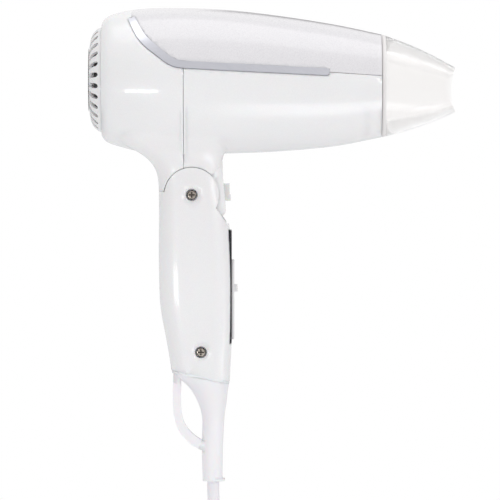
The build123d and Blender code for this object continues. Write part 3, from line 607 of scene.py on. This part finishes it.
def smooth_copy(node: str, look: Look, angle: float = 32.0) -> bpy.types.Object:
    """A merged, smoothly shaded copy of a CAD node that stands for it.

    Args:
        node: the CAD node.
        look: the copy's finish.
        angle: the angle in degrees over which an edge stays sharp.

    Returns:
        The copy.
    """
    source = NODES[node]
    bm = bmesh.new()
    bm.from_mesh(source.data)
    bmesh.ops.remove_doubles(bm, verts=bm.verts, dist=MERGE)
    piece = finish_piece(f"{node}_skin", bm, look, body_of(node), angle)
    if node in EVENLY_SHADED:
        even = piece.modifiers.new("even_shading", "WEIGHTED_NORMAL")
        even.keep_sharp = True
    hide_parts(node)
    return piece


# ------------------------------------------------------------------------------- sub-assemblies


@dataclass(frozen=True)
class Softbox:
    """A rectangular area light, aimed at a point."""

    name: str
    place: Point
    aim: Point
    wide: float
    high: float
    power: float

    def build(self) -> None:
        """Makes the light, which the camera doesn't see."""
        data = bpy.data.lights.new(self.name, "AREA")
        data.shape = "RECTANGLE"
        data.size = self.wide
        data.size_y = self.high
        data.energy = self.power
        light = bpy.data.objects.new(self.name, data)
        light.visible_camera = False
        light.location = self.place
        light.rotation_mode = "QUATERNION"
        light.rotation_quaternion = (Vector(self.aim) - Vector(self.place)).to_track_quat("-Z", "Y")
        bpy.context.scene.collection.objects.link(light)


@dataclass
class Studio:
    """Camera, pale floor and soft light.

    Reflections alone see a dark band in the world and a bright patch on the floor, which shape the
    highlights on the pearl. Spans run from where a step is zero to where it is one.
    """

    aim: Point = (0.0319, 0.0, 0.0272)
    elevation: float = 2.0
    view_width: float = 0.275
    lens: float = 500.0
    sensor: float = 36.0
    far_clip: float = 50.0
    floor_size: float = 6.0
    floor_drop: float = 0.0001
    floor_grey: float = 0.86
    floor_shine: float = 0.77
    patch_shine: float = 3.07
    patch_front: Span = (-0.46, -0.34)
    patch_back: Span = (-0.15, -0.24)
    patch_left: Span = (-0.02, 0.14)
    glow: float = 0.755
    glow_up: float = 0.16
    glow_back: float = 0.14
    glow_side: float = 0.14
    dark_band: float = 0.8
    band_low: Span = (0.06, 0.12)
    band_high: Span = (0.46, 0.34)
    band_back: Span = (0.5, 0.8)
    band_right: Span = (0.0, 0.03)
    softboxes: tuple[Softbox, ...] = (
        Softbox("softbox_front", (1.10, -1.00, 0.35), (0.05, 0.0, 0.08), 0.8, 0.30, 3.0),
        Softbox("softbox_rear", (-0.18, -0.50, -0.045), (-0.03, 0.0, 0.11), 0.24, 0.055, 0.30),
        Softbox("softbox_top", (0.0, -0.1, 1.2), (0.0, 0.0, 0.05), 1.2, 0.8, 3.4),
    )

    def build(self) -> None:
        """Sets up camera, floor, world and lights."""
        self._camera()
        self._floor()
        self._world()
        for softbox in self.softboxes:
            softbox.build()
        bpy.context.scene.view_settings.view_transform = "Standard"

    def _camera(self) -> None:
        """A long lens that looks at the barrel's side from a little above."""
        data = bpy.data.cameras.new("camera")
        data.lens = self.lens
        data.sensor_width = self.sensor
        data.clip_end = self.far_clip
        camera = bpy.data.objects.new("camera", data)
        tilt = math.radians(self.elevation)
        reach = self.view_width * self.lens / self.sensor
        back = Vector((0.0, -math.cos(tilt), math.sin(tilt)))
        camera.location = Vector(self.aim) + back * reach
        camera.rotation_mode = "QUATERNION"
        camera.rotation_quaternion = (-back).to_track_quat("-Z", "Y")
        bpy.context.scene.collection.objects.link(camera)
        bpy.context.scene.camera = camera

    def _floor(self) -> None:
        """A wide pale floor under the coil."""
        bm = bmesh.new()
        bmesh.ops.create_grid(bm, x_segments=2, y_segments=2, size=self.floor_size)
        bmesh.ops.translate(bm, verts=bm.verts, vec=(0.0, 0.0, CAD_BOX[0].z - self.floor_drop))
        mesh = bpy.data.meshes.new("floor")
        bm.to_mesh(mesh)
        bm.free()
        floor = bpy.data.objects.new("floor", mesh)
        bpy.context.scene.collection.objects.link(floor)
        mesh.materials.append(self._floor_material())

    def _floor_material(self) -> bpy.types.Material:
        """White as seen, matt to the light, and a patch brighter in reflections.

        Returns:
            The material.
        """
        made = bpy.data.materials.new("pale_floor")
        made.use_nodes = True
        graph = Graph(made.node_tree)
        seen = graph.straight_on()
        white = graph.add("ShaderNodeEmission", None, {0: (1.0, 1.0, 1.0, 1.0), 1: 1.0})
        x, y, _ = graph.split(graph.place())
        patch = y.ramp(*self.patch_front) * y.ramp(*self.patch_back) * x.ramp(*self.patch_left)
        plain, bright = (
            graph.add("ShaderNodeEmission", None, {0: (0.97, 0.985, 1.0, 1.0), 1: shine}).outputs[0]
            for shine in (self.floor_shine, self.patch_shine)
        )
        shiny = graph.mix_shaders(patch, plain, bright)
        matt = graph.add("ShaderNodeBsdfDiffuse", None, {0: _rgba((self.floor_grey,) * 3)}).outputs[0]
        lit = graph.mix_shaders(graph.mirrored(), matt, shiny)
        graph.add("ShaderNodeOutputMaterial", None, {0: graph.mix_shaders(seen, lit, white.outputs[0])})
        return made

    def _world(self) -> None:
        """White as seen, and to the light brighter above and behind than at the sides."""
        world = bpy.data.worlds.new("studio")
        bpy.context.scene.world = world
        world.use_nodes = True
        graph = Graph(world.node_tree)
        x, y, z = graph.split(graph.add("ShaderNodeTexCoord").outputs["Generated"])
        height = z.ramp(*self.band_low) * z.ramp(*self.band_high)
        band = height * y.ramp(*self.band_back) * x.ramp(*self.band_right)
        glow = self.glow + z * self.glow_up + y * self.glow_back - x.absolute() * self.glow_side
        glow = glow * (1.0 - graph.mirrored() * band * self.dark_band)
        seen = graph.straight_on()
        soft = graph.add("ShaderNodeBackground", None, {0: (1.0, 0.99, 0.995, 1.0), 1: glow})
        white = graph.add("ShaderNodeBackground", None, {0: (1.0, 1.0, 1.0, 1.0), 1: 1.0})
        mix = graph.mix_shaders(seen, soft.outputs[0], white.outputs[0])
        graph.add("ShaderNodeOutputWorld", None, {0: mix})


@dataclass
class MainsCord:
    """The mains lead: its lead-in, tied coil and tail, on one smooth curve.

    The points of lead_in and tail and the radii of rings are in millimetres, and each ring is a radius
    and a level. A turn's control points stand a little outside it, by swell_power, and its last
    shift_steps lead over to the next ring.
    """

    length: float = 1.7
    diameter: float = 0.0066
    exit_point: Point = (0.0116, 0.0, -0.1)
    coil_centre: tuple[float, float] = (0.066, 0.046)
    floor: float = -0.158
    points_per_turn: int = 16
    lead_in: tuple[Point, ...] = (
        (11.6, 0.0, -99.0),
        (11.6, 0.6, -111.0),
        (13.4, 0.2, -129.5),
        (24.5, 0.0, -146.0),
        (42.6, -1.2, -154.7),
        (58.0, 0.0, -154.7),
    )
    rings: tuple[tuple[float, int], ...] = (
        (46.0, 0), (39.4, 0), (32.8, 0), (32.8, 1), (39.4, 1), (46.0, 1),
    )
    shift_steps: int = 4
    swell_power: float = 1.5
    tail: tuple[Point, ...] = (
        (80.5, -1.0, -149.2),
        (97.5, 4.0, -152.4),
        (111.0, 17.0, -154.7),
        (118.8, 34.0, -154.7),
        (120.0, 52.4, -154.7),
        (118.0, 70.4, -153.6),
    )

    def route(self) -> list[Point]:
        """The spline's control points in metres.

        Returns:
            Lead-in, every turn of the coil and the tail.
        """
        points = [tuple(v * MM for v in p) for p in self.lead_in]
        radius = self.diameter / 2
        per = self.points_per_turn
        swell = 1 / math.cos(math.pi / per) ** self.swell_power
        for turn, (ring, level) in enumerate(self.rings):
            ahead, above = self.rings[min(turn + 1, len(self.rings) - 1)]
            for step in range(per):
                if turn == 0 and step == 0:
                    continue
                share = max(0.0, (step - per + self.shift_steps) / self.shift_steps)
                reach = (ring + (ahead - ring) * share) * MM * swell
                height = self.floor + radius + (level + (above - level) * share) * self.diameter
                angle = -math.pi / 2 + math.tau * step / per
                points.append(
                    (
                        self.coil_centre[0] + reach * math.cos(angle),
                        self.coil_centre[1] + reach * math.sin(angle),
                        height,
                    )
                )
        last = self.rings[-1][0] * MM
        top = self.floor + radius + self.diameter
        points.append((self.coil_centre[0], self.coil_centre[1] - last, top))
        return points + [tuple(v * MM for v in p) for p in self.tail]

    def build(self) -> None:
        curve = bpy.data.curves.new("mains_cord", "CURVE")
        curve.dimensions = "3D"
        spline = curve.splines.new("NURBS")
        points = self.route()
        spline.points.add(len(points) - 1)
        for control, place in zip(spline.points, points):
            control.co = (*place, 1.0)
        spline.order_u = 3
        spline.use_endpoint_u = True
        spline.resolution_u = 6
        curve.bevel_depth = self.diameter / 2
        curve.bevel_resolution = 5
        curve.use_fill_caps = True
        cord = bpy.data.objects.new("mains_cord", curve)
        bpy.context.scene.collection.objects.link(cord)
        curve.materials.append(FINISHES.get(Look.CORD_JACKET))
        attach(cord, "handle")
        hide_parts("cord_lead", "cord_coil", "cord_tail")
        dress({"cord_tie": Look.TIE_STRAP, "plug_body": Look.CORD_JACKET, "plug_pins": Look.NICKEL_PIN})
        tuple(self.exit_point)
        log.info("built mains_cord with %d control points", len(points))


@dataclass
class Barrel:
    """Housings, cover, trim, grilles and what they hold."""

    finishes: dict[str, Look] = field(default_factory=lambda: {
        "inlet_filter": Look.FILTER_MESH,
        "fan_duct": Look.INNER_PLASTIC,
        "fan_motor": Look.BRIGHT_STEEL,
        "motor_shaft": Look.BRIGHT_STEEL,
        "impeller": Look.INNER_PLASTIC,
        "heater_sleeve": Look.MICA_CARD,
        "heater_former": Look.MICA_CARD,
        "heating_rings": Look.HEATER_WIRE,
        "thermostat": Look.STAMPED_BRASS,
        "thermal_fuse": Look.BRIGHT_STEEL,
        "outlet_grille": Look.INNER_PLASTIC,
        "cool_switch": Look.INNER_PLASTIC,
        "cool_button": Look.SMOKE_BUTTON,
    })
    skins: dict[str, Look] = field(default_factory=lambda: {
        "rear_housing": Look.PEARL_SHELL,
        "front_housing": Look.PEARL_SHELL,
        "top_cover": Look.PEARL_COVER,
        "trim_strip_left": Look.SATIN_TRIM,
        "trim_strip_right": Look.SATIN_TRIM,
        "inlet_grille": Look.WHITE_PLASTIC,
    })
    grille_lip: float = -0.0495
    filter_radius: float = 0.0262
    filter_reach: float = 0.0046
    filter_thick: float = 0.0004
    filter_rows: int = 14
    filter_steps: int = 64

    def build(self) -> None:
        """Dresses the pieces."""
        dress(self.finishes)
        for node, look in self.skins.items():
            smooth_copy(node, look)
        self._filter()

    def _filter(self) -> None:
        """A domed filter cloth close behind the grille's slots."""
        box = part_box("inlet_grille")
        middle = (box[0].z + box[1].z) / 2
        bm = bmesh.new()
        rim = []
        rows = range(self.filter_rows + 1)
        for inset, steps in ((0.0, rows), (self.filter_thick, reversed(rows))):
            for step in steps:
                turn = math.pi / 2 * step / self.filter_rows
                radius = max((self.filter_radius - inset) * math.cos(turn), 0.0)
                x = self.grille_lip - (self.filter_reach - inset) * math.sin(turn)
                rim.append(bm.verts.new((x, 0.0, middle + radius)))
        edges = [bm.edges.new(pair) for pair in zip(rim, rim[1:] + rim[:1])]
        bmesh.ops.spin(
            bm, geom=[*rim, *edges], cent=(0.0, 0.0, middle), axis=(1.0, 0.0, 0.0),
            angle=math.tau, steps=self.filter_steps, use_merge=True,
        )
        bmesh.ops.remove_doubles(bm, verts=bm.verts, dist=MERGE)
        bmesh.ops.dissolve_degenerate(bm, edges=bm.edges, dist=MERGE / 10)
        bmesh.ops.recalc_face_normals(bm, faces=bm.faces)
        piece = finish_piece("filter_cloth", bm, Look.FILTER_MESH, "barrel", 60.0)
        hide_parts("inlet_filter")


@dataclass
class Nozzle:
    """The clear concentrator."""

    node: str = "concentrator_nozzle"
    sharp: float = 28.0
    ring_front: float = 0.1064
    ring_slack: float = 1e-5

    def build(self) -> None:
        """Dresses the nozzle in clear plastic, with its joining ring and spigot frosted and given a
        faint painted glow.
        """
        piece = smooth_copy(self.node, Look.CLEAR_PLASTIC, self.sharp)
        bm = bmesh.new()
        bm.from_mesh(piece.data)
        bmesh.ops.bisect_plane(
            bm, geom=[*bm.verts, *bm.edges, *bm.faces], dist=MERGE / 10,
            plane_co=(self.ring_front, 0.0, 0.0), plane_no=(1.0, 0.0, 0.0),
        )
        bm.to_mesh(piece.data)
        bm.free()
        # the frosted ring's material glows faintly as painted light
        piece.data.materials.append(FINISHES.get(Look.FROSTED_RING_PAINTED_GLOW))
        ring = len(piece.data.materials) - 1
        limit = self.ring_front + self.ring_slack
        for face in piece.data.polygons:
            if max(piece.data.vertices[v].co.x for v in face.vertices) < limit:
                face.material_index = ring


@dataclass
class Grip:
    """Handle shells, switch and fasteners."""

    finishes: dict[str, Look] = field(default_factory=lambda: {
        "pivot_pin": Look.BRIGHT_STEEL,
        "hinge_washers": Look.BRIGHT_STEEL,
        "pivot_screw": Look.BRONZED_STEEL,
        "handle_screw": Look.BRONZED_STEEL,
        "slide_switch": Look.INNER_PLASTIC,
        "noise_capacitor": Look.CAPACITOR_CASE,
        "inner_leads": Look.LEAD_JACKET,
        "cord_clamp": Look.INNER_PLASTIC,
        "cord_stub": Look.CORD_JACKET,
    })
    skins: dict[str, Look] = field(default_factory=lambda: {
        "handle_shell_left": Look.PEARL_SHELL,
        "handle_shell_right": Look.PEARL_SHELL,
        "switch_bezel": Look.DARK_CHROME,
        "switch_panel": Look.WHITE_PLASTIC,
        "switch_slider": Look.WHITE_PLASTIC,
        "strain_relief": Look.SOFT_RELIEF,
    })

    def build(self) -> None:
        """Dresses the pieces."""
        dress(self.finishes)
        for node, look in self.skins.items():
            smooth_copy(node, look)


def main() -> None:
    """Builds the studio and every sub-assembly in order."""
    logging.basicConfig(level=logging.INFO)
    for part in (Studio(), MainsCord(), Barrel(), Nozzle(), Grip()):
        part.build()


if __name__ == "__main__":
    main()
